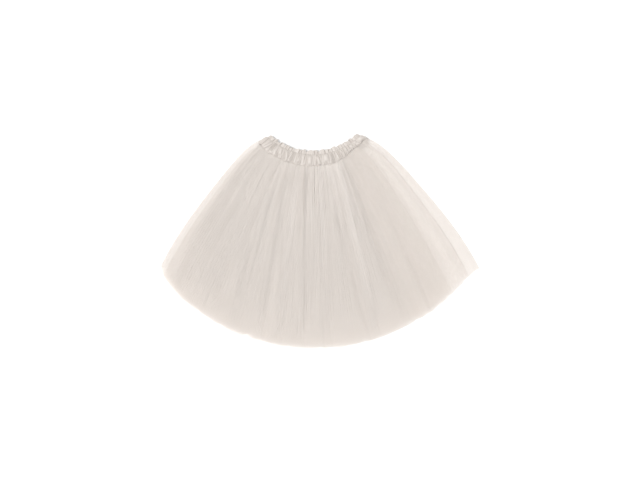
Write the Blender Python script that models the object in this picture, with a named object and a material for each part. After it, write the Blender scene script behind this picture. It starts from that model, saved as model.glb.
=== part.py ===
"""Ballet tutu skirt: three tulle layers and a ruched satin waistband, laid flat.

The skirt lies on its back on a level surface. +X is to its right, +Y runs from
the hem towards the waist and +Z is up. The origin is under the middle of the
whole skirt. Lengths are in metres.

Places on the skirt are given by two numbers. t runs round it from the left side
seam (-1) to the right side seam (+1), and v runs down it from the waist seam (0)
to the hem (1).
"""

import math

import bpy
import numpy as np

MM = 0.001

# The waist seam and the hem are arcs. Angles are taken from straight down (-Y).
WAIST_CENTRE = (-14.3 * MM, 315.6 * MM)
SEAM_RADIUS = 162.2 * MM
WAIST_HALF_ANGLE = math.radians(45.8)
WAIST_TILT = math.radians(0.8)
HEM_CENTRE = (-12.2 * MM, 185.1 * MM)
HEM_RADIUS = 402.0 * MM
HEM_CORNER_LEAN = 11.0 * MM
HEM_CORNER_POWER = 16.0
HEM_HALF_ANGLE = math.radians(53.9)
HEM_TILT = math.radians(0.8)

# The side edges swell outwards, and at the waist they wrap past the band's ends.
SIDE_SWELL = 17.0 * MM
SIDE_SWELL_LEAN = 1.4 * MM
SIDE_SWELL_POWER = 3.0
SIDE_SWELL_SKEW = 0.78
SHOULDER_START = 0.97
SHOULDER_RISE = 8.0 * MM

# The waistband: a satin casing gathered over its elastic.
BAND_HEIGHT = 24.0 * MM
BAND_THICKNESS = 7.0 * MM
BAND_EDGE_THICKNESS = 4.6 * MM
BAND_HALF_ANGLE = math.radians(44.2)
BAND_END_ROUNDING = math.radians(2.0)
BAND_SECTION = (
    # way across from the heading to the seam, share of the full roundness
    (0.0, 0.0),
    (0.12, 0.7),
    (0.5, 1.0),
    (0.88, 0.7),
    (1.0, 0.0),
)
PUFF_PITCH = 12.4 * MM
PUFF_RISE = 1.4 * MM
COLUMNS_PER_PUFF = 2

# The heading: the gathered edge that stands free above the elastic.
HEADING_HEIGHT = 7.2 * MM
HEADING_WALL = 1.2 * MM
HEADING_PITCH = 12.4 * MM
HEADING_WAVE_AT_BAND = 0.8 * MM
HEADING_WAVE_AT_EDGE = 2.1 * MM
COLUMNS_PER_WAVE = 4

# Clearances between pieces that touch on the real skirt.
SEAM_GAP = 0.3 * MM
RUN_GAP = 0.4 * MM

# Tulle walls, as pairs (at the waist seam, at the hem).
BACK_WALL = (1.2 * MM, 2.0 * MM)
BACK_GAP = (0.4 * MM, 0.4 * MM)
FRONT_WALL = (1.2 * MM, 2.6 * MM)
FRONT_GAP = (0.4 * MM, 0.6 * MM)
FRONT_FLOOR = (7.4 * MM, 7.2 * MM)

# Each layer's hem is cut back from the outer one's, and its sides stop one or
# more pleats short of the side seams. Its place counts from the outermost.
LAYERS = (
    # name, hem trim, pleats left out at each side, place
    ("outer", 0.0 * MM, 0, 0),
    ("middle", 6.0 * MM, 1, 1),
    ("inner", 10.0 * MM, 2, 2),
)

# The pleats of the front, from left to right. Each row is the valley where a
# pleat starts: where it leaves the waist seam, where it meets the hem, and how
# high the ridge after it stands at the hem.
PLEATS = (
    # t at waist, t at hem, ridge height in mm
    (-1.00, -1.00, 1.0),
    (-0.94, -0.94, 1.5),
    (-0.88, -0.88, 2.5),
    (-0.83, -0.82, 3.5),
    (-0.76, -0.72, 4.5),
    (-0.65, -0.63, 3.0),
    (-0.57, -0.56, 4.0),
    (-0.49, -0.49, 4.5),
    (-0.42, -0.40, 3.0),
    (-0.37, -0.31, 5.5),
    (-0.26, -0.22, 4.0),
    (-0.14, -0.06, 6.5),
    (-0.03, 0.04, 3.0),
    (0.06, 0.12, 2.5),
    (0.14, 0.19, 4.0),
    (0.20, 0.26, 6.0),
    (0.31, 0.34, 3.0),
    (0.41, 0.43, 3.5),
    (0.49, 0.52, 6.0),
    (0.56, 0.60, 3.5),
    (0.66, 0.67, 4.5),
    (0.75, 0.77, 4.0),
    (0.83, 0.83, 2.0),
    (0.88, 0.88, 1.5),
    (0.94, 0.94, 1.0),
)
COLUMNS_PER_PLEAT = 4
PLEAT_RISE_AT_WAIST = 0.2
PLEAT_FULL_FROM = 0.4
REACH_FULL = 0.88

FRONT_ROWS = np.array([0.0, 0.15, 0.4, 0.7, 1.0])
BACK_COLUMNS = 25

COLOURS = {
    "tulle_outer": (0.723, 0.658, 0.610),
    "tulle_middle": (0.690, 0.625, 0.575),
    "tulle_inner": (0.660, 0.595, 0.545),
    "satin_band": (0.800, 0.745, 0.700),
    "satin_heading": (0.700, 0.635, 0.585),
}


def clear_scene():
    for item in list(bpy.data.objects):
        bpy.data.objects.remove(item, do_unlink=True)


def fabric(name, roughness):
    """A plain fabric finish in one of the named colours."""
    material = bpy.data.materials.new(name)
    material.use_nodes = True
    shader = material.node_tree.nodes["Principled BSDF"]
    shader.inputs["Base Color"].default_value = (*COLOURS[name], 1.0)
    shader.inputs["Roughness"].default_value = roughness
    shader.inputs["Metallic"].default_value = 0.0
    return material


def blend(ends, v):
    """The value between a pair (at the waist seam, at the hem)."""
    return ends[0] + (ends[1] - ends[0]) * v


def ease(x):
    """0 to 1, level at both ends."""
    x = np.clip(x, 0.0, 1.0)
    return x * x * (3.0 - 2.0 * x)


def on_arc(centre, radius, angle):
    """Points of the plan at an angle from straight down, growing towards +X."""
    x = centre[0] + radius * np.sin(angle)
    y = centre[1] - radius * np.cos(angle)
    return np.stack([x, y], axis=-1)


def waist_point(t):
    """Where the tulle starts: along the band, then up past the band's ends."""
    past_band = np.clip((np.abs(t) - SHOULDER_START) / (1.0 - SHOULDER_START), 0.0, 1.0)
    radius = SEAM_RADIUS + SEAM_GAP - SHOULDER_RISE * past_band
    return on_arc(WAIST_CENTRE, radius, WAIST_TILT + WAIST_HALF_ANGLE * t)


def hem_point(t):
    """Where the tulle ends. The right corner reaches further than the left."""
    radius = HEM_RADIUS + HEM_CORNER_LEAN * t * np.abs(t) ** HEM_CORNER_POWER
    return on_arc(HEM_CENTRE, radius, HEM_TILT + HEM_HALF_ANGLE * t)


def plan_point(t, v):
    """The plan of the skirt: waist to hem in a line, swelling towards the sides."""
    waist = waist_point(t)
    hem = hem_point(t)
    down = hem - waist
    across = np.stack([-down[..., 1], down[..., 0]], axis=-1)
    across = across / np.linalg.norm(across, axis=-1, keepdims=True)
    swell = (SIDE_SWELL + SIDE_SWELL_LEAN * t) * t * np.abs(t)
    swell = swell * (1.0 - np.abs(2.0 * v ** SIDE_SWELL_SKEW - 1.0) ** SIDE_SWELL_POWER)
    return waist + down * v[..., None] + across * swell[..., None]


def sheet(plan, height):
    """Joins a plan and a height into one grid of points in space."""
    return np.concatenate([plan, height[..., None]], axis=-1)


def trim_hem(grid, trim):
    """Cuts the last row back along the cloth by a length."""
    last = grid[-1] - grid[-2]
    length = np.linalg.norm(last[:, :2], axis=-1, keepdims=True)
    trimmed = grid.copy()
    trimmed[-1] = grid[-1] - last * (trim / length)
    return trimmed


def add_wall(name, lower, upper, material, collection):
    """A closed wall between two sheets of one grid, joined round their rim.

    Rows run from the waist to the hem and columns from left to right. Every
    cell is split along the same diagonal, so that the walls above and below
    it nest.
    """
    rows, columns = lower.shape[:2]
    count = rows * columns
    index = np.arange(count).reshape(rows, columns)
    a = index[:-1, :-1].ravel()
    b = index[1:, :-1].ravel()
    c = index[1:, 1:].ravel()
    d = index[:-1, 1:].ravel()
    top = np.concatenate([np.stack([a, b, c], axis=1), np.stack([a, c, d], axis=1)])
    bottom = top[:, ::-1] + count
    rim = np.concatenate([
        index[:-1, 0], index[-1, :-1], index[:0:-1, -1], index[0, :0:-1],
    ])
    after = np.roll(rim, -1)
    sides = np.concatenate([
        np.stack([after, rim, rim + count], axis=1),
        np.stack([after, rim + count, after + count], axis=1),
    ])
    points = np.concatenate([upper.reshape(-1, 3), lower.reshape(-1, 3)])
    faces = np.concatenate([top, bottom, sides])
    mesh = bpy.data.meshes.new(name)
    mesh.from_pydata(points.tolist(), [], faces.tolist())
    return place(name, mesh, material, collection)


def place(name, mesh, material, collection):
    mesh.validate()
    mesh.shade_smooth()
    mesh.set_sharp_from_angle(angle=math.radians(35.0))
    mesh.materials.append(material)
    item = bpy.data.objects.new(name, mesh)
    collection.objects.link(item)
    return item


def pleat_columns(skip):
    """The columns of the front: t at the waist, t at the hem and ridge lift.

    Each pleat rises from its valley and falls to the next one as a half sine.
    """
    table = np.array(PLEATS + ((1.0, 1.0, 0.0),))
    table = table[skip:len(table) - skip]
    share = np.arange(COLUMNS_PER_PLEAT) / COLUMNS_PER_PLEAT
    start = table[:-1, None, :2]
    end = table[1:, None, :2]
    ends = (start + (end - start) * share[None, :, None]).reshape(-1, 2)
    lift = (table[:-1, 2, None] * np.sin(math.pi * share)[None, :]).ravel() * MM
    return (
        np.append(ends[:, 0], table[-1, 0]),
        np.append(ends[:, 1], table[-1, 1]),
        np.append(lift, 0.0),
    )


def front_sheet(skip, below):
    """The lower side of a front layer, a number of layers below the outer one.

    Over the inner layers the cloth lies on the flat back. Past their edges it
    comes down, until at the side seam only the outer back layer is under it.
    """
    t_waist, t_hem, lift = pleat_columns(skip)
    v = np.broadcast_to(FRONT_ROWS[:, None], (len(FRONT_ROWS), len(t_waist)))
    t = t_waist + (t_hem - t_waist) * v
    pitch = blend(FRONT_WALL, v) + blend(FRONT_GAP, v)
    full = blend(FRONT_FLOOR, v) + 2.0 * pitch
    seam = blend(BACK_WALL, v) + blend(BACK_GAP, v)
    down = np.clip((np.abs(t) - REACH_FULL) / (1.0 - REACH_FULL), 0.0, 1.0)
    rise = PLEAT_RISE_AT_WAIST + (1.0 - PLEAT_RISE_AT_WAIST) * ease(v / PLEAT_FULL_FROM)
    height = full + (seam - full) * down + lift * rise - below * pitch
    return sheet(plan_point(t, v), height), blend(FRONT_WALL, v)


def back_sheet(skip, above):
    """The lower side of a back layer, a number of layers above the outer one."""
    reach = -PLEATS[skip][1]
    t_row = np.linspace(-reach, reach, BACK_COLUMNS)
    if reach > SHOULDER_START:
        t_row = np.sort(np.append(t_row, [-SHOULDER_START, SHOULDER_START]))
    v, t = np.meshgrid(FRONT_ROWS, t_row, indexing="ij")
    height = above * (blend(BACK_WALL, v) + blend(BACK_GAP, v))
    return sheet(plan_point(t, v), height), blend(BACK_WALL, v)


def add_tulle_layer(name, trim, skip, depth, collection):
    """The front and back widths of one layer of the skirt."""
    material = fabric("tulle_" + name, 0.75)
    for side, make in (("front", front_sheet), ("back", back_sheet)):
        grid, wall = make(skip, depth)
        lower = trim_hem(grid, trim)
        upper = lower.copy()
        upper[..., 2] += wall
        add_wall(f"tulle_{name}_{side}", lower, upper, material, collection)


def band_plan(radius, pitch, per_pitch):
    """The plan of a strip along the band, and the gathers' phase along it.

    The ends of the loop round away towards the waist opening.
    """
    waves = round(2.0 * BAND_HALF_ANGLE * radius[-1] / pitch)
    phase = np.linspace(0.0, waves, waves * per_pitch + 1)
    rise = (SEAM_RADIUS - radius) / BAND_HEIGHT
    half_angle = BAND_HALF_ANGLE - BAND_END_ROUNDING * rise ** 2
    angle = WAIST_TILT + half_angle[:, None] * (2.0 * phase / waves - 1.0)[None, :]
    return on_arc(WAIST_CENTRE, radius[:, None], angle), phase


def add_band_run(name, floor, puffed, material, collection):
    """One run of the casing: a flat oval section, with puffs between its gathers
    on the run that isn't pressed against the surface below."""
    across, roundness = np.array(BAND_SECTION).T
    radius = SEAM_RADIUS - BAND_HEIGHT * (1.0 - across)
    plan, phase = band_plan(radius, PUFF_PITCH, COLUMNS_PER_PUFF)
    puff = PUFF_RISE * np.sin(math.pi * phase) ** 2 * puffed
    crown = BAND_THICKNESS + puff - BAND_EDGE_THICKNESS
    height = BAND_EDGE_THICKNESS + crown[None, :] * roundness[:, None]
    lower = sheet(plan, np.full(height.shape, floor))
    upper = sheet(plan, floor + height)
    add_wall(name, lower, upper, material, collection)


def add_heading_run(name, middle, material, collection):
    """One run of the heading: a waved strip whose waves grow to its free edge."""
    radius_at_band = SEAM_RADIUS - BAND_HEIGHT - SEAM_GAP
    radius = np.array([radius_at_band - HEADING_HEIGHT, radius_at_band])
    plan, phase = band_plan(radius, HEADING_PITCH, COLUMNS_PER_WAVE)
    reach = np.array([HEADING_WAVE_AT_EDGE, HEADING_WAVE_AT_BAND])
    height = middle + reach[:, None] * np.sin(2.0 * math.pi * phase)[None, :]
    lower = sheet(plan, height - HEADING_WALL / 2.0)
    upper = sheet(plan, height + HEADING_WALL / 2.0)
    add_wall(name, lower, upper, material, collection)


def main():
    clear_scene()
    collection = bpy.data.collections.new("ballet_tutu")
    bpy.context.scene.collection.children.link(collection)
    for name, trim, skip, depth in LAYERS:
        add_tulle_layer(name, trim, skip, depth, collection)
    satin = fabric("satin_band", 0.35)
    heading = fabric("satin_heading", 0.45)
    front_floor = BAND_THICKNESS + RUN_GAP
    add_band_run("waistband_back", 0.0, False, satin, collection)
    add_band_run("waistband_front", front_floor, True, satin, collection)
    half = BAND_THICKNESS / 2.0
    add_heading_run("heading_back", half, heading, collection)
    add_heading_run("heading_front", front_floor + half, heading, collection)


main()
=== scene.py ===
# %% [markdown]
# # A ballet tutu skirt, laid flat
#
# This lesson dresses a plain CAD model of a tutu skirt in its real cloth.
# The skirt is three tubes of tulle net, one inside the other, gathered into a
# satin casing with elastic inside it. It has been put down on its back, so
# each tube is pressed flat and has a front run and a back run.
#
# Every piece is a grid of points that numpy works out as whole arrays: one
# number runs round the skirt and one runs down it. That suits cloth, which is
# itself a grid of threads, and it keeps each fold a line of a formula that can
# be read and changed.

# %% Load the frame
import math

import bpy
import numpy as np
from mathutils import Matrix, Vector


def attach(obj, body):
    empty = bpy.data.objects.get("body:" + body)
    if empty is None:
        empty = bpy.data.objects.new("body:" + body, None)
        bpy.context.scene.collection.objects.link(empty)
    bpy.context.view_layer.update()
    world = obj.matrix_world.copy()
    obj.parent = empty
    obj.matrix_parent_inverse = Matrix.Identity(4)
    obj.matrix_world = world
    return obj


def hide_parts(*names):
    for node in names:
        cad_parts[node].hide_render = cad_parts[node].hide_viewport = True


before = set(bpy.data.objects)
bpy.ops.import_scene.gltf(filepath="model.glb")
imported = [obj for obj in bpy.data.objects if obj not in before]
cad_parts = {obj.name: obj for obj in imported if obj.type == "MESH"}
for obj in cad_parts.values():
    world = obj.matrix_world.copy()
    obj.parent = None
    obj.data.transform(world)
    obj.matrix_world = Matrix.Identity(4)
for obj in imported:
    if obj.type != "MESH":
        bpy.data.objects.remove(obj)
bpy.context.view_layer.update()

MM = 0.001

# %% [markdown]
# ## The plan of the skirt
#
# Seen from above, the waist seam and the hem are two arcs, and the cloth runs
# between them like the ribs of a fan. A point is named by t, from the left side
# fold (-1) to the right one (+1), and by v, from the waist seam (0) to the hem
# (1). The fan could be drawn as an outline and filled, but then a fold would
# have nothing to follow. With t and v, a fold is simply a line of nearly
# constant t.

# %% Waist, hem and side edges
WAIST_CENTRE = (-14.3 * MM, 315.6 * MM)
SEAM_RADIUS = 162.2 * MM
WAIST_HALF_ANGLE = math.radians(45.8)
HEM_CENTRE = (-12.2 * MM, 185.1 * MM)
HEM_RADIUS = 402.0 * MM
HEM_HALF_ANGLE = math.radians(53.9)
TILT = math.radians(0.8)
HEM_CORNER_LEAN = 11.0 * MM
HEM_CORNER_POWER = 16.0
HEM_FULLNESS = 1.6 * MM
SIDE_SWELL = 17.0 * MM
SIDE_SWELL_LEAN = 1.4 * MM
SIDE_SWELL_POWER = 3.0
SIDE_SWELL_SKEW = 0.78
SHOULDER_START = 0.97
SHOULDER_RISE = 8.0 * MM


def on_arc(centre, radius, angle):
    """A point at a radius and an angle from straight down, growing towards +X."""
    return np.stack([
        centre[0] + radius * np.sin(angle),
        centre[1] - radius * np.cos(angle),
    ], axis=-1)


def waist_point(t):
    """Along the band's lower edge, then up past the band's ends."""
    past_band = np.clip((np.abs(t) - SHOULDER_START) / (1.0 - SHOULDER_START), 0.0, 1.0)
    radius = SEAM_RADIUS - SHOULDER_RISE * past_band
    return on_arc(WAIST_CENTRE, radius, TILT + WAIST_HALF_ANGLE * t)


def hem_point(t):
    """An arc, full between middle and sides, whose right corner reaches out."""
    radius = HEM_RADIUS + HEM_CORNER_LEAN * t * np.abs(t) ** HEM_CORNER_POWER
    radius = radius + HEM_FULLNESS * 4.0 * t ** 2 * (1.0 - t ** 2)
    return on_arc(HEM_CENTRE, radius, TILT + HEM_HALF_ANGLE * t)


def plan_point(t, v):
    """A straight rib from waist to hem, bowed outwards by the square of t."""
    waist, hem = waist_point(t), hem_point(t)
    down = hem - waist
    across = np.stack([-down[..., 1], down[..., 0]], axis=-1)
    across = across / np.linalg.norm(across, axis=-1, keepdims=True)
    way = np.clip(v, 0.0, 1.0) ** SIDE_SWELL_SKEW
    swell = (SIDE_SWELL + SIDE_SWELL_LEAN * t) * t * np.abs(t)
    swell = swell * (1.0 - np.abs(2.0 * way - 1.0) ** SIDE_SWELL_POWER)
    return waist + down * v[..., None] + across * swell[..., None]


SEAM_LINE_AT = (-1.0, -0.94, -0.86, 0.36, 0.44, 0.54, 0.68, 0.80, 1.0)
SEAM_LINE = np.array([4.0, 1.5, 0.0, 0.0, 2.5, 5.5, 9.0, 11.0, 12.0]) * MM


def seam_rise(t):
    """How far the front's seam is drawn up past the arc, in metres."""
    return np.interp(t, SEAM_LINE_AT, SEAM_LINE)


WAIST_REACH = WAIST_HALF_ANGLE * SEAM_RADIUS
HEM_REACH = HEM_HALF_ANGLE * HEM_RADIUS
SKIRT_LENGTH = float(np.linalg.norm(hem_point(np.array(0.0)) - waist_point(np.array(0.0))))


def reach_at(v):
    """How many metres one unit of t is worth, at v."""
    return WAIST_REACH + (HEM_REACH - WAIST_REACH) * v


print("tulle length in mm:", round(SKIRT_LENGTH / MM, 1))

# %% [markdown]
# ## Small tools for cloth
#
# Folds that repeat exactly look like corrugated iron. Real gathers differ in
# width, depth and direction, and they do so smoothly. A sum of a few sines with
# seeded random phases gives that: it is smooth, it closes on itself round the
# skirt, and it is the same on every run.

# %% Curves that wander
WANDER_SINES = 7
WANDER_PEAK = 1.6


def blend(ends, v):
    """The value between a pair (at the waist, at the hem)."""
    return ends[0] + (ends[1] - ends[0]) * v


def ease(x):
    """0 to 1 with level ends: 3x^2 - 2x^3."""
    x = np.clip(x, 0.0, 1.0)
    return x * x * (3.0 - 2.0 * x)


def wander(turn, seed, slowest, fastest, v=0.0, sway=0.0):
    """A smooth random curve round a ring, mostly between -1 and 1.

    It is the scaled mean of sines in turn (0 to 1 round the ring) with whole wave
    numbers, so that it closes, and each sine slides by up to sway with v.
    """
    draw = np.random.default_rng(seed)
    total = 0.0
    for _ in range(WANDER_SINES):
        waves = draw.integers(slowest, fastest + 1)
        phase = draw.uniform(0.0, 2.0 * math.pi)
        slide = draw.uniform(-sway, sway)
        total = total + np.sin(2.0 * math.pi * waves * turn + phase + slide * v)
    return total / math.sqrt(0.5 * WANDER_SINES) / WANDER_PEAK


sample = wander(np.linspace(0.0, 1.0, 500), 1, 3, 24)
print("a wandering curve runs from", round(sample.min(), 2), "to", round(sample.max(), 2))

# %% Meshes from grids


def ring_length(points):
    """Length of each row round a grid, in metres."""
    return np.linalg.norm(np.roll(points, -1, axis=1) - points, axis=-1).sum(axis=1)


def ring_mesh(name, points, across, down, closed=False):
    """A mesh from a grid whose last column joins its first.

    Rows run down the cloth and columns run round it, and if it is closed the
    last row joins the first too. The UV map named cloth holds the place on the
    flat cut in metres: across and down give it at the edges of the cells.
    """
    rows, columns = points.shape[:2]
    index = np.arange(rows * columns).reshape(rows, columns)
    if closed:
        index = np.concatenate([index, index[:1]])
    right = np.roll(index, -1, axis=1)
    faces = np.stack([index[:-1], index[1:], right[1:], right[:-1]], axis=-1)
    u = np.broadcast_to(across[None, :], (len(index), columns + 1))
    v = np.broadcast_to(down[:, None], (len(index), columns + 1))
    cut = np.stack([u, v], axis=-1)
    corners = np.stack([cut[:-1, :-1], cut[1:, :-1], cut[1:, 1:], cut[:-1, 1:]], axis=-2)
    mesh = bpy.data.meshes.new(name)
    mesh.vertices.add(rows * columns)
    mesh.vertices.foreach_set("co", points.astype(np.float32).ravel())
    mesh.loops.add(faces.size)
    mesh.loops.foreach_set("vertex_index", faces.ravel())
    mesh.polygons.add(faces.size // 4)
    mesh.polygons.foreach_set("loop_start", np.arange(faces.size // 4) * 4)
    mesh.update(calc_edges=True)
    layer = mesh.uv_layers.new(name="cloth")
    layer.data.foreach_set("uv", corners.astype(np.float32).ravel())
    mesh.shade_smooth()
    piece = bpy.data.objects.new(name, mesh)
    bpy.context.scene.collection.objects.link(piece)
    return piece


def cloth_wall(piece, thickness, offset=0.0):
    """Gives a sheet its real thickness: half to each side, or inwards at -1."""
    wall = piece.modifiers.new("cloth thickness", "SOLIDIFY")
    wall.thickness = thickness
    wall.offset = offset


def triangles(piece):
    """How many triangles a piece has once its modifiers have run."""
    shown = piece.evaluated_get(bpy.context.evaluated_depsgraph_get())
    return sum(len(face.vertices) - 2 for face in shown.data.polygons)


# %% [markdown]
# ## The finish of tulle
#
# Tulle is a net of hexagonal holes about a millimetre across, so most of it is
# air. One ply is barely there, and a gathered skirt is solid only because many
# plies lie on each other. A tint of grey on one surface would never show that.
# Here each ply lets light through where the net has holes, and the skirt gets
# its body, its pale edges and its soft streaks by itself.
#
# The net comes from three cosines of the place on the flat cut, 120 degrees
# apart. Their sum is high in the middle of each hole and low along the threads.
# Perfect nets on each other would make broad false bands, so the place is first
# pulled askew by a little noise, as a net that hangs freely is. Each tube also
# says how much thread there is, because its net is drawn open at the sides and
# along the gathered seam.

# %% Tulle: sizes, colour and surface
NET_CELL = 1.2 * MM
NET_SLACK = 0.6 * MM
NET_SLACK_PATCH = 4.0 * MM
TULLE_COLOUR = (0.819, 0.765, 0.719, 1.0)
THREAD_LEVEL = (-1.0, -0.55)
THREAD_COVER = 0.90
TULLE_SURFACE = {
    "Roughness": 0.85,
    "Specular IOR Level": 0.25,
    "Sheen Weight": 0.15,
    "Sheen Roughness": 0.6,
}
print("tulle net: cells of", NET_CELL / MM, "mm")

# %% Helpers for materials


def node(tree, kind, **values):
    """A new node of a kind, with its settings."""
    made = tree.nodes.new(kind)
    for key, value in values.items():
        setattr(made, key, value)
    return made


def math_node(tree, operation, first, second=None):
    """A Math node fed by sockets or plain numbers."""
    made = node(tree, "ShaderNodeMath", operation=operation)
    for socket, value in zip(made.inputs, (first, second)):
        if isinstance(value, bpy.types.NodeSocket):
            tree.links.new(value, socket)
        elif value is not None:
            socket.default_value = value
    return made.outputs[0]


def new_finish(name, surface):
    """A Principled material with its surface set: tree, shader and cloth UV."""
    material = bpy.data.materials.new(name)
    material.use_nodes = True
    tree = material.node_tree
    shader = tree.nodes["Principled BSDF"]
    for key, value in surface.items():
        shader.inputs[key].default_value = value
    cut = node(tree, "ShaderNodeUVMap", uv_map="cloth")
    return material, tree, shader, cut.outputs["UV"]


# %% Tulle net material


def net_threads(tree, place, cell):
    """1 on the threads of a hexagonal net and 0 in its holes.

    The holes are pulled askew by up to NET_SLACK, in patches a few cells wide.
    """
    slack = node(tree, "ShaderNodeTexNoise")
    slack.inputs["Scale"].default_value = 1.0 / NET_SLACK_PATCH
    slack.inputs["Detail"].default_value = 0.0
    tree.links.new(place, slack.inputs["Vector"])
    pulled = node(tree, "ShaderNodeVectorMath", operation="MULTIPLY_ADD")
    pulled.inputs[1].default_value = (2.0 * NET_SLACK, 2.0 * NET_SLACK, 0.0)
    tree.links.new(slack.outputs["Color"], pulled.inputs[0])
    tree.links.new(place, pulled.inputs[2])
    place = pulled.outputs["Vector"]
    total = None
    waves = 2.0 * math.pi / (cell * math.cos(math.radians(30.0)))
    for way in np.radians((0.0, 120.0, 240.0)):
        along = node(tree, "ShaderNodeVectorMath", operation="DOT_PRODUCT")
        tree.links.new(place, along.inputs[0])
        along.inputs[1].default_value = (waves * math.cos(way), waves * math.sin(way), 0.0)
        wave = math_node(tree, "COSINE", along.outputs["Value"])
        total = wave if total is None else math_node(tree, "ADD", total, wave)
    edge = node(tree, "ShaderNodeMapRange", interpolation_type="SMOOTHSTEP")
    tree.links.new(total, edge.inputs["Value"])
    edge.inputs["From Min"].default_value = THREAD_LEVEL[0]
    edge.inputs["From Max"].default_value = THREAD_LEVEL[1]
    edge.inputs["To Min"].default_value = 1.0
    edge.inputs["To Max"].default_value = 0.0
    return edge.outputs["Result"]


def tulle_finish(name):
    """Opacity is the net's threads times their share and THREAD_COVER."""
    material, tree, shader, cut = new_finish(name, TULLE_SURFACE)
    shader.inputs["Base Color"].default_value = TULLE_COLOUR
    share = node(tree, "ShaderNodeAttribute", attribute_name="thread_share")
    cover = math_node(tree, "MULTIPLY", share.outputs["Fac"], THREAD_COVER)
    threads = net_threads(tree, cut, NET_CELL)
    tree.links.new(math_node(tree, "MULTIPLY", threads, cover), shader.inputs["Alpha"])
    return material


tulle = tulle_finish("tulle_net")
print("tulle net:", len(tulle.node_tree.nodes), "nodes")

# %% [markdown]
# ## The finish of satin and thread
#
# Satin is smooth because its warp threads float over several weft threads. They
# lie close side by side, so the gloss is soft and there is hardly any texture:
# long fine ribs along the strip, with a break where a thread dips. A plain
# glossy colour would look like plastic. The ribs come from a wave across the
# threads and a stretched noise breaks them up, both far smaller than a fold.

# %% Satin and thread: colours, surfaces and sizes
SATIN_COLOUR = (0.530, 0.488, 0.452, 1.0)
SATIN_SHADE = (0.480, 0.435, 0.398, 1.0)
THREAD_COLOUR = (0.60, 0.55, 0.51, 1.0)
SATIN_SURFACE = {
    "Roughness": 0.43,
    "Specular IOR Level": 0.7,
    "Sheen Weight": 0.25,
    "Sheen Roughness": 0.35,
}
THREAD_SURFACE = {"Roughness": 0.5, "Sheen Weight": 0.2}
SATIN_PATCHES = (55.0, 30.0, 1.0)
SATIN_FLOATS = (500.0, 2600.0, 1.0)
SATIN_RIB = 0.45 * MM
SATIN_RIB_SHARE = 0.3
SATIN_BUMP = 0.04 * MM
THREAD_FIBRES = (4000.0, 4000.0, 4000.0)
THREAD_BUMP = 0.03 * MM
print("satin ribs every", SATIN_RIB / MM, "mm")

# %% Satin and thread materials


def stretched_noise(tree, place, scale, detail):
    """Noise on a place multiplied by a scale in each direction."""
    stretch = node(tree, "ShaderNodeMapping")
    stretch.inputs["Scale"].default_value = scale
    tree.links.new(place, stretch.inputs["Vector"])
    noise = node(tree, "ShaderNodeTexNoise")
    noise.inputs["Scale"].default_value = 1.0
    noise.inputs["Detail"].default_value = detail
    tree.links.new(stretch.outputs["Vector"], noise.inputs["Vector"])
    return noise.outputs["Fac"]


def mix_colours(tree, factor, first, second):
    """The first colour at factor 0 and the second at 1."""
    mix = node(tree, "ShaderNodeMix", data_type="RGBA")
    mix.inputs["A"].default_value = first
    mix.inputs["B"].default_value = second
    tree.links.new(factor, mix.inputs["Factor"])
    return mix.outputs["Result"]


def ribs(tree, place, axis, pitch):
    """A cosine of one coordinate, with a wave every pitch."""
    parts = node(tree, "ShaderNodeSeparateXYZ")
    tree.links.new(place, parts.inputs["Vector"])
    turned = math_node(tree, "MULTIPLY", parts.outputs[axis], 2.0 * math.pi / pitch)
    return math_node(tree, "COSINE", turned)


def bump(tree, shader, height, distance):
    """Tilts the shading as if the surface rose by height times distance."""
    raised = node(tree, "ShaderNodeBump")
    raised.inputs["Distance"].default_value = distance
    tree.links.new(height, raised.inputs["Height"])
    tree.links.new(raised.outputs["Normal"], shader.inputs["Normal"])


def satin_finish(name):
    """Two close colours in patches, and a bump of ribs plus stretched noise."""
    material, tree, shader, cut = new_finish(name, SATIN_SURFACE)
    patches = stretched_noise(tree, cut, SATIN_PATCHES, 3.0)
    tinted = mix_colours(tree, patches, SATIN_COLOUR, SATIN_SHADE)
    tree.links.new(tinted, shader.inputs["Base Color"])
    floats = stretched_noise(tree, cut, SATIN_FLOATS, 2.0)
    low_ribs = math_node(tree, "MULTIPLY", ribs(tree, cut, "Y", SATIN_RIB), SATIN_RIB_SHARE)
    weave = math_node(tree, "ADD", low_ribs, floats)
    bump(tree, shader, weave, SATIN_BUMP)
    return material


def thread_finish(name):
    """A thread's fibres: fine noise on Object coordinates, in colour and bump."""
    material, tree, shader, _ = new_finish(name, THREAD_SURFACE)
    where = node(tree, "ShaderNodeTexCoord")
    fibres = stretched_noise(tree, where.outputs["Object"], THREAD_FIBRES, 2.0)
    tinted = mix_colours(tree, fibres, THREAD_COLOUR, SATIN_SHADE)
    tree.links.new(tinted, shader.inputs["Base Color"])
    bump(tree, shader, fibres, THREAD_BUMP)
    return material


satin = satin_finish("ivory_satin")
thread = thread_finish("sewing_thread")
print("finishes:", satin.name, "and", thread.name)
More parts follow.
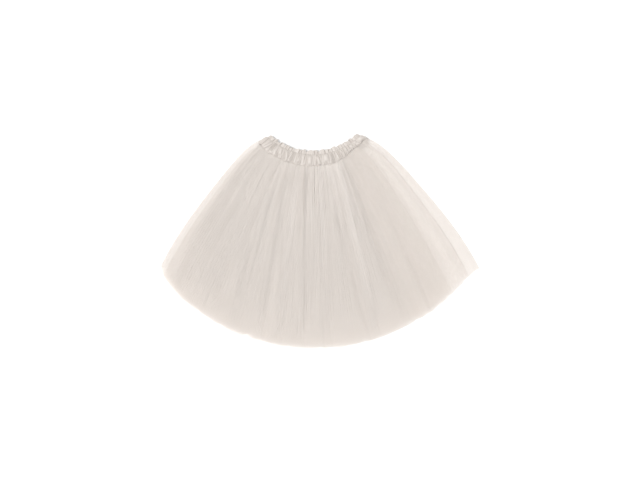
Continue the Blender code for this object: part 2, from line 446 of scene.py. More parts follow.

# %% [markdown]
# ## The large folds of the front
#
# The front was never pressed. The air in its folds holds it up, so it lies in a
# low dome that slopes to the sides. On the dome are some twenty faint pleats
# that widen from the waist to the hem, and sharper creases where a fold has
# been crushed. A simulation would crease the cloth somewhere else at every
# change of a setting. Here the pleats and the creases are tables with a row for
# each, uneven in length, depth and spacing. Most creases of the front run
# through measured places, and each one's drop, width and ends were set one by one.
# The pleats and the back's creases were placed one by one.
#
# A crease is a ledge: the cloth falls on a steep flank and comes back slowly.
# Light from the left leaves the steep flank dark and brightens the slow one. A
# negative drop turns the ledge over, and it shows as a light line. The back has
# ten shallow ones too, all of them turned over, because cloth that lies on a
# floor can only rise.

# %% Pleats
PLEATS = (
    # t at waist, t at hem, ridge height in mm, softness of the valleys
    (-1.000, -1.000, 0.2, 2.0),
    (-0.940, -0.940, 0.2, 2.0),
    (-0.830, -0.828, 0.3, 1.8),
    (-0.725, -0.725, 0.4, 1.8),
    (-0.630, -0.610, 0.4, 2.0),
    (-0.525, -0.550, 0.3, 1.6),
    (-0.440, -0.440, 0.4, 1.6),
    (-0.325, -0.300, 0.4, 1.8),
    (-0.215, -0.200, 0.3, 2.0),
    (-0.110, -0.085, 0.3, 1.6),
    (0.085, 0.070, 0.4, 1.8),
    (0.190, 0.250, 0.4, 1.6),
    (0.320, 0.335, 0.2, 1.8),
    (0.460, 0.475, 0.2, 1.7),
    (0.550, 0.575, 0.5, 1.8),
    (0.690, 0.690, 0.4, 1.8),
    (0.830, 0.832, 0.3, 2.0),
    (0.895, 0.892, 0.2, 2.0),
    (0.940, 0.940, 0.2, 2.0),
    (1.000, 1.000, 0.0, 1.5),
)
PLEAT_RISE = (0.0, 0.25, 1.0, 0.8)
PLEAT_RISE_AT = (0.0, 0.04, 0.40, 1.0)


def pleat_lift(t, v):
    """Height of the pleats: each a power of a half sine from valley to valley."""
    lift = np.zeros_like(t)
    for (tw, th, height, softness), (next_tw, next_th, _, _) in zip(PLEATS, PLEATS[1:]):
        start = tw + (th - tw) * v
        width = next_tw + (next_th - next_tw) * v - start
        share = np.clip((t - start) / width, 0.0, 1.0)
        lift += height * MM * np.sin(math.pi * share) ** softness
    return lift * np.interp(v, PLEAT_RISE_AT, PLEAT_RISE)


print(len(PLEATS) - 1, "pleats")

# %% Creases
LEDGES = (
    # t at its top, t at its foot, v at its top, v at its foot, drop mm, width mm
    (-0.142, -0.086, -0.25, 0.56, 2.2, 3.6),
    (-0.140, -0.116, -0.25, 0.28, 1.6, 3.2),
    (-0.105, -0.068, 0.26, 0.94, 0.9, 3.4),
    (-0.080, -0.071, 0.38, 0.94, 0.7, 3.0),
    (-0.850, -0.846, -0.25, 1.20, 0.9, 7.0),
    (-0.520, -0.550, -0.25, 0.30, 1.3, 3.2),
    (-0.480, -0.440, -0.05, 0.80, 1.3, 4.0),
    (-0.502, -0.506, 0.36, 0.98, 1.8, 5.0),
    (-0.384, -0.308, -0.10, 0.84, 1.4, 5.0),
    (-0.250, -0.240, 0.08, 0.94, 1.1, 6.0),
    (-0.738, -0.746, 0.12, 0.90, 1.3, 6.0),
    (-0.665, -0.655, 0.36, 1.06, 1.0, 4.0),
    (-0.632, -0.622, 0.46, 0.98, 0.7, 3.6),
    (0.142, 0.190, -0.25, 0.26, 1.5, 4.5),
    (0.192, 0.285, 0.06, 1.02, 2.1, 6.0),
    (0.448, 0.470, -0.25, 0.94, 1.4, 4.0),
    (0.491, 0.486, -0.02, 0.40, 1.4, 3.0),
    (0.500, 0.535, 0.44, 1.15, 1.3, 7.0),
    (0.666, 0.738, -0.25, 0.30, 2.0, 7.0),
    (0.654, 0.658, 0.30, 1.20, 1.7, 6.0),
    (0.031, 0.040, 0.58, 1.20, 1.0, 3.6),
    (0.828, 0.833, 0.58, 1.10, 0.5, 6.0),
    (0.256, 0.300, 0.44, 1.16, 1.4, 4.6),
    (0.478, 0.512, 0.46, 1.12, 1.3, 5.0),
    (-0.084, -0.072, 0.48, 1.10, 0.7, 3.4),
    (-0.338, -0.302, 0.46, 1.04, 1.0, 4.4),
    (0.640, 0.652, 0.46, 1.14, 1.2, 4.0),
    (-0.180, -0.134, 0.08, 0.82, -0.7, 6.0),
    (0.107, 0.082, -0.20, 1.10, -1.4, 5.0),
    (0.340, 0.357, 0.20, 1.18, -1.4, 5.0),
    (-0.757, -0.690, -0.20, 0.66, -0.4, 6.0),
    (-0.500, -0.525, -0.20, 0.80, -0.6, 5.0),
    (-0.280, -0.287, 0.10, 1.06, -0.9, 6.5),
    (-0.410, -0.362, 0.16, 0.90, -0.8, 5.0),
    (0.556, 0.588, -0.10, 1.18, -0.8, 6.0),
)
BACK_LEDGES = (
    # the same columns, with negative drops only
    (-0.800, -0.840, 0.10, 0.95, -0.5, 5.0),
    (-0.610, -0.560, -0.20, 0.70, -0.7, 4.0),
    (-0.455, -0.480, 0.35, 1.15, -0.5, 6.0),
    (-0.330, -0.275, -0.10, 0.58, -0.9, 4.5),
    (-0.120, -0.150, 0.05, 1.20, -0.7, 5.0),
    (0.040, 0.075, -0.25, 0.46, -0.9, 3.6),
    (0.215, 0.190, 0.20, 1.02, -0.6, 5.0),
    (0.390, 0.460, -0.20, 0.82, -0.8, 4.0),
    (0.590, 0.560, 0.30, 1.15, -0.4, 7.0),
    (0.760, 0.800, -0.10, 0.76, -0.6, 5.0),
)
LEDGE_FADE = 0.18
LEDGE_SHIFT = 0.7
LEE = 5.0


def ledge_drop(table, t, v):
    """The sum of a table's ledges, faded at both ends.

    Across, a ledge is a bell curve that is LEE times as wide on its right as on
    its left. LEDGE_SHIFT puts its steep left flank on the line in the table.
    """
    total = np.zeros_like(t)
    for top, foot, v_top, v_foot, drop, wide in table:
        way = (v - v_top) / (v_foot - v_top)
        off = (t - top - (foot - top) * way) * reach_at(v) / (wide * MM) - LEDGE_SHIFT
        off = np.where(off > 0.0, off / LEE, off)
        fade = ease((v - v_top) / LEDGE_FADE) * ease((v_foot - v) / LEDGE_FADE)
        total += drop * MM * fade * np.exp(-off * off)
    return total


print(len(LEDGES), "creases in front,", len(BACK_LEDGES), "behind")

# %% [markdown]
# ## How a flat tube of net is stacked
#
# Three tubes lie inside each other, so their runs are six sheets: three backs
# on the floor and three fronts on those. Cloth simulation could find this
# stack, but thin nets that touch all over are its hardest case. Instead each run
# gets a slab of height of its own, and its small folds stay inside that slab, so
# no sheet can cut another however its folds wander.
#
# The small folds lean over, as gathers do when they are laid down. A leaning
# fold is a wave that is pushed sideways by its own height: the cloth then turns
# back under itself, and there are three plies where a plain wave has one. The
# lean and the height of the folds both shrink towards the hem, where the same
# cloth has twice the width to lie in, and at the sides, where the net is thin.

# %% Slabs of height
# the height of one run's slab, and how high the lowest front lies, at waist and hem
BACK_SLAB = (1.6 * MM, 2.05 * MM)
FRONT_SLAB = (1.6 * MM, 2.2 * MM)
FRONT_FLOOR = (7.4 * MM, 7.2 * MM)
# how far the low dome of the front rises above that, and its share from waist to hem
LOFT = 4.8 * MM
LOFT_RISE = (0.0, 0.80, 0.92, 1.0, 0.9)
LOFT_RISE_AT = (0.0, 0.04, 0.10, 0.30, 1.0)
REACH_FULL = 0.88
SIDE_FOLD_RADIUS = 1.3 * MM
SIDE_FOLD_CALM = 14.0 * MM
NET_THICKNESS = 0.2 * MM
NET_CLEARANCE = 0.05 * MM
backs_top = round(3.0 * BACK_SLAB[1] / MM, 2)
print("at the hem, backs up to", backs_top, "mm, fronts from", FRONT_FLOOR[1] / MM, "mm")

# %% Leaning gathers
COLUMNS_FRONT = 1200
COLUMNS_BACK = 760
ROWS_V = np.concatenate([
    [-0.006, 0.004, 0.02, 0.045, 0.08], np.linspace(0.12, 0.94, 15),
    [0.965, 0.982, 0.992, 0.9975, 1.0],
])
FINE_FOLDS = 236
FINE_SWAY = 2.5
FINE_SHARE = 0.86
BROAD_FOLDS = 66
BROAD_SWAY = 2.0
BROAD_SEED = 40
FOLD_WANDER = 2.6
FOLD_SLIDE = 1.6
FOLD_UNEVEN = 0.18
FOLD_STEEPNESS = 0.35
FOLD_PEAK = 1.2
# how far the folds lean, and the share of their slab they use, from waist to hem
FOLD_LEAN = np.array([2.9, 2.75, 2.5, 2.3, 1.4]) * MM
LEAN_AT = (0.0, 0.25, 0.5, 0.75, 1.0)
ROOM_USED = (1.0, 0.54, 0.25, 0.08, 0.03)
# the share of that lean which is left towards the sides, and less of it higher up
THIN_SIDES = (-0.96, -0.92, -0.86, 0.49, 0.57, 0.72, 0.86, 0.96)
THIN_SIDES_LEAN = (0.1, 0.8, 1.0, 1.0, 0.43, 0.36, 0.30, 0.1)
THINNER_UP = 1.7
THIN_HEIGHT_POWER = 1.5
EDGE_SLANT = 0.20
EDGE_SLANT_FROM = 0.7
# how much thread the net keeps: by t, and next to the seam on the left
THREAD_SHARE_AT = (-1.0, -0.90, -0.80, 0.42, 0.58, 0.75, 0.84, 0.90, 0.94, 1.0)
THREAD_SHARE = (0.86, 0.94, 1.0, 1.0, 0.76, 0.60, 0.51, 0.50, 0.70, 0.90)
SEAM_SHARE = 0.78
SEAM_SHARE_ENDS = 0.30
SEAM_SHARE_FADE = (-0.105, 0.245)
# the t at which the folds turn the other way over
FACING_TURNS = -0.09
FACING_BLEND = 0.005


def run_round():
    """The ring's columns: t, which run they are on, and the turn from 0 to 1."""
    front = -1.0 + 2.0 * (np.arange(COLUMNS_FRONT) + 0.5) / COLUMNS_FRONT
    back = 1.0 - 2.0 * (np.arange(COLUMNS_BACK) + 0.5) / COLUMNS_BACK
    t = np.concatenate([front, back])
    side = np.concatenate([np.ones(COLUMNS_FRONT), -np.ones(COLUMNS_BACK)])
    turn = np.where(side > 0.0, (1.0 + t) / 4.0, 0.5 + (1.0 - t) / 4.0)
    return t, side, turn


def side_fold(t, side, v):
    """Bends the flattened tube round its side folds.

    From the middle of the fold the cloth follows a half circle and then a
    straight run. Gives the new t and the share of the front, from 0 to 1.
    """
    away = (1.0 - np.abs(t)) * reach_at(v)
    bend = np.clip(away / SIDE_FOLD_RADIUS, 0.0, 0.5 * math.pi)
    inwards = SIDE_FOLD_RADIUS * (1.0 - np.cos(bend))
    inwards = inwards + np.maximum(away - 0.5 * math.pi * SIDE_FOLD_RADIUS, 0.0)
    front = 0.5 + 0.5 * side * np.sin(bend)
    return np.sign(t) * (1.0 - inwards / reach_at(v)), front


def gathers(turn, v, seed, folds, sway):
    """One family of folds, from about -1.1 to 1.1.

    The wave is a sine plus FOLD_STEEPNESS of the sine of twice, which is
    steeper on one flank. Its phase grows round the ring with a wander that
    slides on the way down, so that folds drift, widen and narrow, and its depth
    wanders too.
    """
    phase = 2.0 * math.pi * folds * turn
    phase = phase + FOLD_WANDER * wander(turn, seed, 5, 31)
    phase = phase + sway * v * wander(turn, seed + 1, 2, 19)
    depth = 1.0 - FOLD_UNEVEN + FOLD_UNEVEN * wander(turn, seed + 2, 9, 47, v, FOLD_SLIDE)
    return depth * (np.sin(phase) + FOLD_STEEPNESS * np.sin(2.0 * phase)) / FOLD_PEAK


print(FINE_FOLDS, "small folds and", BROAD_FOLDS, "broad ones round each tube")

# %% [markdown]
# ## A tube of tulle
#
# A maker cuts each layer as a long strip, joins its ends, and gathers one edge
# into the waistband. The tube here is made the same way round: its columns run
# from waist to hem, and the hem is left raw and a little uneven, as net is. A
# flat fan with a streaky picture on it would be lighter work, but the streaks
# would then lie still when the light or the eye moves.

# %% Hem, seam and heights
SEAM_RISE_ENDS = 0.16
GRIPPED = 0.55
GRIP_ENDS = 0.06
FRONT_SEAM = (9.8 * MM, 11.0 * MM)
BACK_SEAM = (2.4 * MM, 3.4 * MM)
HEM_RIPPLE = 1.2 * MM
HEM_SWAY = 1.5 * MM
HEM_NICKS = (
    # t, width in t, how far the hem stops short in mm
    (-0.39, 0.012, 7.0),
    (0.27, 0.010, 5.0),
    (0.56, 0.012, 6.0),
    (-0.72, 0.010, 4.0),
)


def hem_unevenness(t, turn, seed):
    """How far past its line the hem runs, in metres."""
    past = HEM_RIPPLE * wander(turn, seed + 5, 20, 90)
    past = past + HEM_SWAY * wander(turn, seed + 6, 3, 17)
    for middle, width, short in HEM_NICKS:
        past = past - short * MM * np.exp(-((t - middle) / width) ** 2)
    return past


def grip(v):
    """How thick the three plies of a run still are: GRIPPED at the seam, then 1."""
    return GRIPPED + (1.0 - GRIPPED) * ease(v / GRIP_ENDS)


def gripped(height, v, seam):
    """Draws a height towards the middle of the casing's lower edge, near the seam."""
    laid, sewn = seam
    near = 1.0 - ease(v / GRIP_ENDS)
    return height + near * (sewn + (height - laid) * GRIPPED - height)


def front_height(t, v, place):
    """Middle of a front run's slab, a number of places below the outermost."""
    slab = blend(FRONT_SLAB, v)
    full = blend(FRONT_FLOOR, v) + 2.0 * slab
    seam = blend(BACK_SLAB, v)
    down = np.clip((np.abs(t) - REACH_FULL) / (1.0 - REACH_FULL), 0.0, 1.0)
    loft = LOFT * (1.0 - down ** 2) * np.interp(v, LOFT_RISE_AT, LOFT_RISE)
    lift = np.maximum(loft + pleat_lift(t, v) - ledge_drop(LEDGES, t, v), 0.0)
    height = full + (seam - full) * down + lift + (0.5 - place) * slab
    return gripped(height, v, FRONT_SEAM)


def back_height(t, v, place):
    """Middle of a back run's slab, a number of places above the lowest."""
    height = (place + 0.5) * blend(BACK_SLAB, v) - ledge_drop(BACK_LEDGES, t, v)
    return gripped(height, v, BACK_SEAM)


middle_of_hem = float(front_height(np.zeros(1), np.ones(1), 0)[0])
print("outer front at the middle of the hem:", round(middle_of_hem / MM, 1), "mm up")

# %% The grid of one tube


def tulle_tube(place, left, right, hem_trim, seed):
    """The grid of one tube: rows down from the waist, columns round it.

    A point starts on the flattened tube, is pushed sideways by its folds'
    lean, and is then raised to its slab's middle and by its folds' height. The
    share named plies thins the folds at the sides, and facing, from -1 to 1,
    turns the folds of the right side the other way over.
    """
    t0, side, turn = run_round()
    v = np.broadcast_to(ROWS_V[:, None], (len(ROWS_V), len(t0)))
    t1, front = side_fold(t0[None, :], side[None, :], np.clip(v, 0.0, 1.0))
    level = np.clip(v, 0.0, 1.0)
    near_fold = (1.0 - np.abs(t0[None, :])) * reach_at(level)
    calm = ease(near_fold / SIDE_FOLD_CALM)
    where = np.where(t1 < 0.0, left, right) * t1
    edge = where - EDGE_SLANT * np.maximum(where, 0.0) * (level - EDGE_SLANT_FROM)
    plies = np.interp(edge, THIN_SIDES, THIN_SIDES_LEAN) ** (1.0 + THINNER_UP * (1.0 - level))
    fine = gathers(turn[None, :], level, seed, FINE_FOLDS, FINE_SWAY)
    broad = gathers(turn[None, :], level, seed + BROAD_SEED, BROAD_FOLDS, BROAD_SWAY)
    wave = calm * (FINE_SHARE * fine + (1.0 - FINE_SHARE) * broad)
    t2 = t1 + side * plies * np.interp(level, LEAN_AT, FOLD_LEAN) * wave / reach_at(level)
    t = np.where(t2 < 0.0, -left, right) * np.abs(t2)
    past = hem_unevenness(t0, turn, seed)[None, :] - hem_trim
    drawn_up = front * seam_rise(t) * (1.0 - ease(v / SEAM_RISE_ENDS)) / SKIRT_LENGTH
    plan = plan_point(t, v * (1.0 + past / SKIRT_LENGTH) - drawn_up)
    slab = front * blend(FRONT_SLAB, level) + (1.0 - front) * blend(BACK_SLAB, level)
    room = 0.5 * slab - 0.5 * NET_THICKNESS - NET_CLEARANCE
    room = room * np.interp(level, LEAN_AT, ROOM_USED) * grip(level)
    facing = np.tanh((where - FACING_TURNS) / FACING_BLEND)
    up = room * wave * plies ** THIN_HEIGHT_POWER * facing
    height = front * front_height(t, level, place)
    height = height + (1.0 - front) * back_height(t, level, place)
    return np.concatenate([plan, (height + up)[..., None]], axis=-1)


def thread_share(left, right):
    """How much thread the net keeps at each point: drawn tight, its holes open.

    It is drawn tight at the sides, by a table in t, and by the seam on the left
    and in the middle, where the share goes from SEAM_SHARE to 1 with v.
    """
    t, _, _ = run_round()
    across = np.interp(np.where(t < 0.0, left, right) * t, THREAD_SHARE_AT, THREAD_SHARE)
    fade_from, fade_to = SEAM_SHARE_FADE
    leftward = 1.0 - ease((t - fade_from) / (fade_to - fade_from))
    tight = leftward * (1.0 - ease(ROWS_V / SEAM_SHARE_ENDS))[:, None]
    return across * (1.0 - (1.0 - SEAM_SHARE) * tight)


print("each tube:", len(ROWS_V), "rows of", COLUMNS_FRONT + COLUMNS_BACK, "points")

# %% Three tubes of tulle
ROWS_MEASURED = [1, 8, 13, 18, 24]
TUBES = (
    # name, place, reach to the left, reach to the right, hem trim, seed, width of the cut
    ("outer", 0, 1.00, 1.00, 0.0 * MM, 11, 1.6),
    ("middle", 1, 0.95, 0.93, 2.5 * MM, 23, 1.5),
    ("inner", 2, 0.88, 0.80, 6.0 * MM, 37, 1.4),
)

for name, place, left, right, trim, seed, cut_width in TUBES:
    points = tulle_tube(place, left, right, trim, seed)
    print(name, "row lengths in m:", np.round(ring_length(points)[ROWS_MEASURED], 2))
    across = np.linspace(0.0, cut_width, points.shape[1] + 1)
    down = ROWS_V * SKIRT_LENGTH
    piece = ring_mesh("tulle_" + name, points, across, down)
    share = piece.data.attributes.new("thread_share", "FLOAT", "POINT")
    share.data.foreach_set("value", thread_share(left, right).ravel())
    cloth_wall(piece, NET_THICKNESS)
    piece.data.materials.append(tulle)
    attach(piece, "root")
    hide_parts(f"tulle_{name}_front", f"tulle_{name}_back")
    print(piece.name, triangles(piece), "triangles")

# %% [markdown]
# ## The waistband: a path that closes
#
# The waistband is a loop of satin with elastic inside it, and like the tulle it
# has been pressed flat, so it makes two runs and two tight turns. Seen along
# the cloth that is a stadium: two straight runs joined by half circles. The
# casing and the frill above it both follow this one path, so they stay
# together all the way round, and the path is bent to the waist's arc at the end.

# %% The flattened loop
BAND_HALF_ANGLE = math.radians(44.2)
BAND_END_ROUNDING = math.radians(1.2)
BAND_HEIGHT = 24.0 * MM
RUN_APART = 3.7 * MM
LOOP_MIDDLE = 7.2 * MM
BAND_RADIUS = SEAM_RADIUS - 0.5 * BAND_HEIGHT
BAND_REACH = BAND_RADIUS * BAND_HALF_ANGLE
STRAIGHT = 2.0 * (BAND_REACH - RUN_APART)
TURN_LENGTH = math.pi * RUN_APART
LOOP_LENGTH = 2.0 * (STRAIGHT + TURN_LENGTH)


def loop_point(turn, out):
    """A stadium in the plane of the band's length and its height.

    turn runs from 0 at the front's left end round to 1, and out is how far the
    point stands off the path. Gives the place along the band from its middle,
    and the height.
    """
    way = (turn % 1.0) * LOOP_LENGTH
    front = np.clip(way, 0.0, STRAIGHT)
    right = np.clip(way - STRAIGHT, 0.0, TURN_LENGTH) / RUN_APART
    back = np.clip(way - STRAIGHT - TURN_LENGTH, 0.0, STRAIGHT)
    left = np.clip(way - 2.0 * STRAIGHT - TURN_LENGTH, 0.0, TURN_LENGTH) / RUN_APART
    angle = 0.5 * math.pi - right - left
    along = front - back - 0.5 * STRAIGHT + (RUN_APART + out) * np.cos(angle)
    return along, LOOP_MIDDLE + (RUN_APART + out) * np.sin(angle)


def on_band(turn, up, out):
    """A place on the waistband: up is metres from the seam towards the waist."""
    along, height = loop_point(turn, out)
    rounding = BAND_END_ROUNDING * (up / BAND_HEIGHT) ** 2 / BAND_HALF_ANGLE
    angle = TILT + along / BAND_RADIUS * (1.0 - rounding)
    plan = on_arc(WAIST_CENTRE, SEAM_RADIUS - up, angle)
    return np.concatenate([plan, np.maximum(height, 0.0)[..., None]], axis=-1)


print("round the waistband in mm:", round(LOOP_LENGTH / MM, 1))

# %% [markdown]
# ## The satin casing
#
# When elastic draws a casing up, the spare satin has nowhere to go but out. It
# makes narrow folds packed side by side, and here and there a wide puff that
# lies over them and catches the light. Cloth simulation would place these where
# it liked. The wide puffs that show on the front are placed one by one instead,
# in a short table, and the narrow folds come from a wandering wave that gives
# way to them.

# %% Puffs and narrow folds of the casing
CASING_PUFFS = (
    # place along the run at the seam and at the top, half width and height
    # in mm, and the shares of the casing's height where it starts and ends
    (-0.905, -0.835, 3.4, 2.9, -0.05, 0.98),
    (-0.760, -0.745, 4.6, 2.2, -0.10, 0.36),
    (-0.575, -0.655, 4.4, 2.8, 0.24, 1.05),
    (-0.455, -0.530, 3.6, 3.0, 0.12, 0.98),
    (-0.450, -0.405, 2.6, 2.8, 0.18, 0.95),
    (-0.300, -0.240, 2.0, 2.2, 0.30, 1.00),
    (-0.075, -0.068, 5.6, 3.0, 0.08, 0.94),
    (0.100, 0.060, 4.0, 2.8, -0.05, 0.88),
    (0.215, 0.225, 6.6, 2.9, 0.20, 1.02),
    (0.515, 0.520, 3.0, 2.4, 0.45, 0.98),
    (0.600, 0.615, 3.8, 2.8, 0.30, 1.02),
    (0.725, 0.735, 4.4, 2.0, 0.20, 0.90),
    (0.835, 0.825, 5.2, 2.3, 0.42, 1.10),
    (1.000, 0.975, 12.0, 2.8, 0.10, 1.05),
)
OFF_THE_FRONT = 3.0
CASING_FOLDS = 88
CASING_WANDER = 2.2
CASING_SLANT = 1.6
CASING_UNEVEN = 0.25
FOLD_HEIGHT = 3.2 * MM
FOLD_SHARPNESS = 1.4
PUFF_EDGE = 0.16
PUFF_COVERS = 1.7


def front_place(turn):
    """Place along the front run from -1 to 1, or OFF_THE_FRONT on the back."""
    along, height = loop_point(turn, 0.0)
    return np.where(height > LOOP_MIDDLE, along / BAND_REACH, OFF_THE_FRONT)


def casing_folds(turn, share):
    """How far the satin stands off the elastic, in metres.

    Narrow folds are a power of a half sine, narrow on top and narrow between.
    A puff is a flat dome, 1 less the cube of the way across, and the folds sink
    to nothing under it. share is the share of the casing's height.
    """
    phase = math.pi * CASING_FOLDS * turn
    phase = phase + CASING_WANDER * wander(turn, 5, 6, 40)
    phase = phase + CASING_SLANT * (share - 0.5) * wander(turn, 6, 3, 24)
    depth = 1.0 - CASING_UNEVEN + CASING_UNEVEN * wander(turn, 7, 8, 60)
    narrow = np.abs(np.sin(phase)) ** FOLD_SHARPNESS * depth
    place = front_place(turn)
    puffs, covered = np.zeros_like(narrow), np.zeros_like(narrow)
    for seam, top, half_width, high, start, end in CASING_PUFFS:
        off = (place - seam - (top - seam) * share) * BAND_REACH / (half_width * MM)
        within = ease((share - start) / PUFF_EDGE) * ease((end - share) / PUFF_EDGE)
        dome = np.clip(1.0 - np.abs(off) ** 3, 0.0, 1.0)
        puffs = np.maximum(puffs, high * MM * dome * within)
        covered = np.maximum(covered, ease(PUFF_COVERS - np.abs(off)) * within)
    return np.maximum(puffs, FOLD_HEIGHT * narrow * (1.0 - covered))


print(len(CASING_PUFFS), "puffs,", CASING_FOLDS, "narrow folds")

# %% [markdown]
# ## Wrapping the casing
#
# The section is a rounded oval: flat where the elastic is and round at both
# edges. It is carried along the loop, so the casing is one closed surface, and
# Solidify gives the satin its thickness on the inside.

# %% The casing's section
CASING_HALF_THICK = 2.0 * MM
SECTION_SQUARENESS = 2.6
CASING_COLUMNS = 900
CASING_SECTION = 44
SATIN_THICKNESS = 0.35 * MM
STITCH_GROOVE = 0.09
IN_THE_GROOVE = 0.25
INNER_SIDE = 0.3
FOLD_ROUND_EDGES = 0.7
PRESSED = 0.45
SEAM_WANDER = 1.3 * MM


def casing_point(turn, round_it, proud=0.0):
    """Section x = a cos^p, y = b sin^p, with the folds added on the outer side.

    The folds keep the share IN_THE_GROOVE at the two rows of stitches,
    INNER_SIDE towards the elastic and PRESSED on the back run. proud lifts the
    point off the satin, for what is sewn onto it.
    """
    power = 2.0 / SECTION_SQUARENESS
    c, s = np.cos(2.0 * math.pi * round_it), np.sin(2.0 * math.pi * round_it)
    up_share = 0.5 + 0.5 * np.sign(c) * np.abs(c) ** power
    drawn_in = ease(up_share / STITCH_GROOVE) * ease((1.0 - up_share) / STITCH_GROOVE)
    folds = casing_folds(turn, up_share) * blend((IN_THE_GROOVE, 1.0), drawn_in)
    outer = np.where(s > 0.0, 1.0, -INNER_SIDE)
    along, height = loop_point(turn, 0.0)
    front = ease(0.5 + 0.5 * (height - LOOP_MIDDLE) / RUN_APART)
    folds = folds * blend((PRESSED, 1.0), front) * outer * np.abs(s) ** FOLD_ROUND_EDGES
    out = CASING_HALF_THICK * np.sign(s) * np.abs(s) ** power + folds + proud
    drawn = SEAM_WANDER * wander(turn, 8, 5, 46) + front * seam_rise(along / BAND_REACH)
    return on_band(turn, up_share * BAND_HEIGHT + drawn * (1.0 - up_share), out)


print("casing:", CASING_COLUMNS, "sections of", CASING_SECTION, "points")

# %% The casing
# the flat strip holds both faces of the band and the turn over the elastic
STRIP_LENGTH = 0.60
CASING_CUT = (STRIP_LENGTH, 2.4 * BAND_HEIGHT)

turn = (np.arange(CASING_COLUMNS) + 0.5) / CASING_COLUMNS
round_it = np.arange(CASING_SECTION)[:, None] / CASING_SECTION
points = casing_point(turn[None, :], round_it)
satin_row = float(ring_length(points)[:CASING_SECTION // 2].mean())
print("satin along the outer rows in m:", round(satin_row, 3))

across = np.linspace(0.0, CASING_CUT[0], CASING_COLUMNS + 1)
down = np.linspace(0.0, CASING_CUT[1], CASING_SECTION + 1)
casing = ring_mesh("satin_casing", points, across, down, closed=True)
cloth_wall(casing, SATIN_THICKNESS, -1.0)
casing.data.materials.append(satin)
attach(casing, "root")
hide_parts("waistband_front", "waistband_back")
print(casing.name, triangles(casing), "triangles")

# %% [markdown]
# ## The frill above the casing
#
# The same strip of satin stands past the casing's upper row of stitches as a
# little frill. A flat strip with a bumpy outline would look cut out with
# scissors. This one is a wave that grows towards its free edge and leans over
# as it grows, so that its outline is uneven because the cloth is.

# %% The frill's wave
FRILL_UP = np.array([21.0, 23.0, 24.2, 25.2, 26.4, 27.7, 29.0, 30.2, 31.0, 31.5]) * MM
FRILL_COLUMNS = 1400
FRILL_WAVES = 41
FRILL_WANDER = 2.4
FRILL_DEPTH_UNEVEN = 0.2
FRILL_STEEPNESS = 0.3
FRILL_LAG = 0.8
FRILL_PEAK = 1.15
FRILL_RIPPLES = 97
FRILL_RIPPLE_WANDER = 2.0
FRILL_WAVE = (0.7 * MM, 1.7 * MM)
FRILL_RIPPLE = (0.25 * MM, 0.35 * MM)
FRILL_LEAN = (0.4 * MM, 3.0 * MM)
FRILL_UNEVEN = 1.4 * MM
FRILL_UNEVEN_WAVE = 0.4
FRILL_EVEN_ENDS = 0.10
FRILL_BACK_LOWER = 3.0 * MM
FRILL_THICKNESS = 0.7 * MM


def frill_point(turn, up):
    """A wave sheared along the band by its own height, so it can't cut itself.

    On the back run it is lower, and stays behind the front's uneven edge.
    """
    grown = (up - FRILL_UP[0]) / (FRILL_UP[-1] - FRILL_UP[0])
    phase = 2.0 * math.pi * FRILL_WAVES * turn + FRILL_WANDER * wander(turn, 71, 4, 22)
    depth = 1.0 - FRILL_DEPTH_UNEVEN + FRILL_DEPTH_UNEVEN * wander(turn, 72, 7, 40)
    steeper = FRILL_STEEPNESS * np.sin(2.0 * phase + FRILL_LAG)
    wave = depth * (np.sin(phase) + steeper) / FRILL_PEAK
    turned = 2.0 * math.pi * FRILL_RIPPLES * turn
    ripple = np.sin(turned + FRILL_RIPPLE_WANDER * wander(turn, 73, 5, 30))
    out = blend(FRILL_WAVE, grown) * wave + blend(FRILL_RIPPLE, grown) * ripple
    lean = blend(FRILL_LEAN, grown) * wave
    along, height = loop_point(turn, 0.0)
    from_end = 1.0 - np.abs(along) / BAND_REACH
    uneven = FRILL_UNEVEN * (FRILL_UNEVEN_WAVE * wave + wander(turn, 74, 12, 52))
    uneven = uneven * ease(from_end / FRILL_EVEN_ENDS)
    uneven = uneven - FRILL_BACK_LOWER * ease((LOOP_MIDDLE - height) / RUN_APART)
    return on_band(turn + lean / LOOP_LENGTH, up + uneven * grown, out)


print(FRILL_WAVES, "waves and", FRILL_RIPPLES, "ripples round the frill")

# %% The frill
turn = (np.arange(FRILL_COLUMNS) + 0.5) / FRILL_COLUMNS
points = frill_point(turn[None, :], FRILL_UP[::-1, None])
print("frill rows in m:", np.round(ring_length(points)[[0, 4, -1]], 3))

frill_cut = (STRIP_LENGTH, float(FRILL_UP[-1] - FRILL_UP[0]))
across = np.linspace(0.0, frill_cut[0], FRILL_COLUMNS + 1)
frill = ring_mesh("satin_frill", points, across, FRILL_UP[::-1] - FRILL_UP[0])
cloth_wall(frill, FRILL_THICKNESS)
frill.data.materials.append(satin)
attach(frill, "root")
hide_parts("heading_front", "heading_back")
print(frill.name, triangles(frill), "triangles")

# %% [markdown]
# ## Two rows of stitches
#
# One row closes the casing under the frill, and one holds the tulle in its lower
# edge. A stitch is a short thread that comes out of the cloth, lies on it and
# goes back in. A bump in the material would vanish from the side, so each one is
# a small rounded bar, and all of them are made at once.

# %% The shape of a stitch
STITCH_ROWS = (0.05, 0.93)
STITCH_PITCH = 3.0 * MM
STITCH_LENGTH = 2.3 * MM
THREAD_RADIUS = 0.19 * MM
STITCH_ALONG = np.array([-0.5, -0.36, 0.0, 0.36, 0.5])
STITCH_PROUD = np.array([-0.25, 0.05, 0.12, 0.05, -0.25]) * MM
STITCH_GIRTH = np.array([0.45, 0.9, 1.0, 0.9, 0.45])
THREAD_SIDES = 6


def section_turn(up_share):
    """Where round the casing's section a share of its height is, on the outside."""
    c = np.sign(2.0 * up_share - 1.0) * abs(2.0 * up_share - 1.0) ** (SECTION_SQUARENESS / 2.0)
    return math.acos(c) / (2.0 * math.pi)


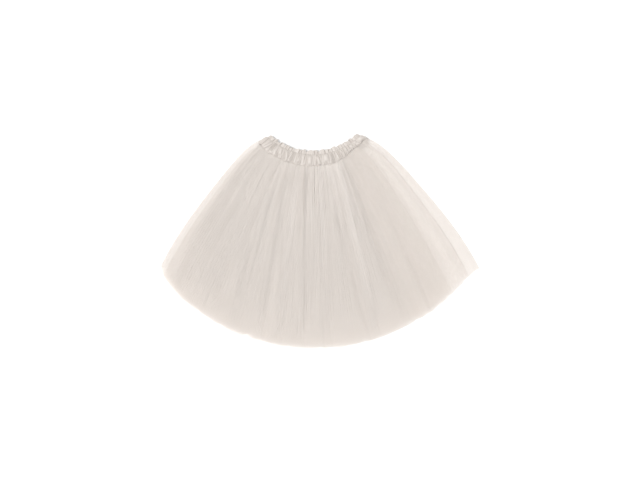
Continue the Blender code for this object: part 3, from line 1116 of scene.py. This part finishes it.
def stitch_row(up_share):
    """Rings of points round each stitch: stitches, places along it, points round."""
    count = int(LOOP_LENGTH / STITCH_PITCH)
    middle = (np.arange(count) + 0.5) / count
    turn = middle[:, None] + STITCH_ALONG * STITCH_LENGTH / LOOP_LENGTH
    where = section_turn(up_share)
    spine = casing_point(turn, where, STITCH_PROUD)
    outwards = casing_point(turn, where, STITCH_PROUD + MM) - spine
    outwards = outwards / np.linalg.norm(outwards, axis=-1, keepdims=True)
    along = np.gradient(spine, axis=1)
    sideways = np.cross(along, outwards)
    sideways = sideways / np.linalg.norm(sideways, axis=-1, keepdims=True)
    angle = 2.0 * math.pi * np.arange(THREAD_SIDES) / THREAD_SIDES
    girth = (THREAD_RADIUS * STITCH_GIRTH)[None, :, None, None]
    spoke = np.cos(angle)[:, None] * outwards[:, :, None]
    spoke = spoke + np.sin(angle)[:, None] * sideways[:, :, None]
    return spine[:, :, None] + girth * spoke


print("stitches every", STITCH_PITCH / MM, "mm")

# %% All the stitches as one mesh
rings = np.concatenate([stitch_row(share) for share in STITCH_ROWS])
index = np.arange(rings[..., 0].size).reshape(rings.shape[:3])
after = np.roll(index, -1, axis=2)
sides = np.stack([index[:, :-1], after[:, :-1], after[:, 1:], index[:, 1:]], axis=-1)
faces = sides.reshape(-1, 4).tolist()
faces = faces + index[:, 0, ::-1].tolist() + index[:, -1, :].tolist()
mesh = bpy.data.meshes.new("casing_stitches")
mesh.from_pydata(rings.reshape(-1, 3).tolist(), [], faces)
mesh.shade_smooth()
stitches = bpy.data.objects.new("casing_stitches", mesh)
bpy.context.scene.collection.objects.link(stitches)
stitches.data.materials.append(thread)
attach(stitches, "root")
print(len(rings), "stitches,", triangles(stitches), "triangles")

# %% [markdown]
# ## Floor, light and camera
#
# A tutu for sale is pictured on white, under light that is soft but not flat:
# a wide lamp high to one side gives each fold a light flank and a dark one, and
# a white room fills the rest. A lamp near by would light one side of the skirt
# more than the other, so it stands ten metres off.

# %% Floor and room
FLOOR_SIZE = 6.0
FLOOR_DROP = 0.2 * MM
PAPER_WHITE = (0.97, 0.97, 0.97, 1.0)
PAPER_SURFACE = {"Roughness": 0.9, "Specular IOR Level": 0.1}
ROOM_WHITE = (1.0, 1.0, 1.0, 1.0)
ROOM_LIGHT = 0.90

bpy.ops.mesh.primitive_plane_add(size=FLOOR_SIZE, location=(0.0, 0.0, -FLOOR_DROP))
floor = bpy.context.object
floor.name = "floor"
paper, _, shader, _ = new_finish("white_paper", PAPER_SURFACE)
shader.inputs["Base Color"].default_value = PAPER_WHITE
floor.data.materials.append(paper)

world = bpy.data.worlds.new("white_room")
bpy.context.scene.world = world
world.use_nodes = True
background = world.node_tree.nodes["Background"]
background.inputs["Color"].default_value = ROOM_WHITE
background.inputs["Strength"].default_value = ROOM_LIGHT
print("floor", FLOOR_SIZE, "m wide, room light", ROOM_LIGHT)

# %% Lamp and camera
LAMP_SIZE = 4.0
LAMP_WATTS = 664.0
LENS = 70.0
CAMERA_HEIGHT = 2.54
CAMERA_AIM = (0.0, 3.5 * MM)
LAMP_PLACE = (-3.6, 0.0, 9.6)

lamp_data = bpy.data.lights.new("soft_lamp", "AREA")
lamp_data.shape = "SQUARE"
lamp_data.size = LAMP_SIZE
lamp_data.energy = LAMP_WATTS
lamp = bpy.data.objects.new("soft_lamp", lamp_data)
lamp.location = LAMP_PLACE
bpy.context.scene.collection.objects.link(lamp)
lamp.rotation_euler = (-Vector(LAMP_PLACE)).to_track_quat("-Z", "Y").to_euler()

camera_data = bpy.data.cameras.new("camera")
camera_data.lens = LENS
camera = bpy.data.objects.new("camera", camera_data)
camera.location = (*CAMERA_AIM, CAMERA_HEIGHT)
bpy.context.scene.collection.objects.link(camera)
bpy.context.scene.camera = camera

# Light has to pass through every ply of net, so it may pass many times.
NET_PASSES = 48
scene = bpy.context.scene
scene.view_settings.view_transform = "Standard"
scene.cycles.transparent_max_bounces = NET_PASSES
print("lamp", LAMP_WATTS, "W, lens", LENS, "mm, camera", CAMERA_HEIGHT, "m up")
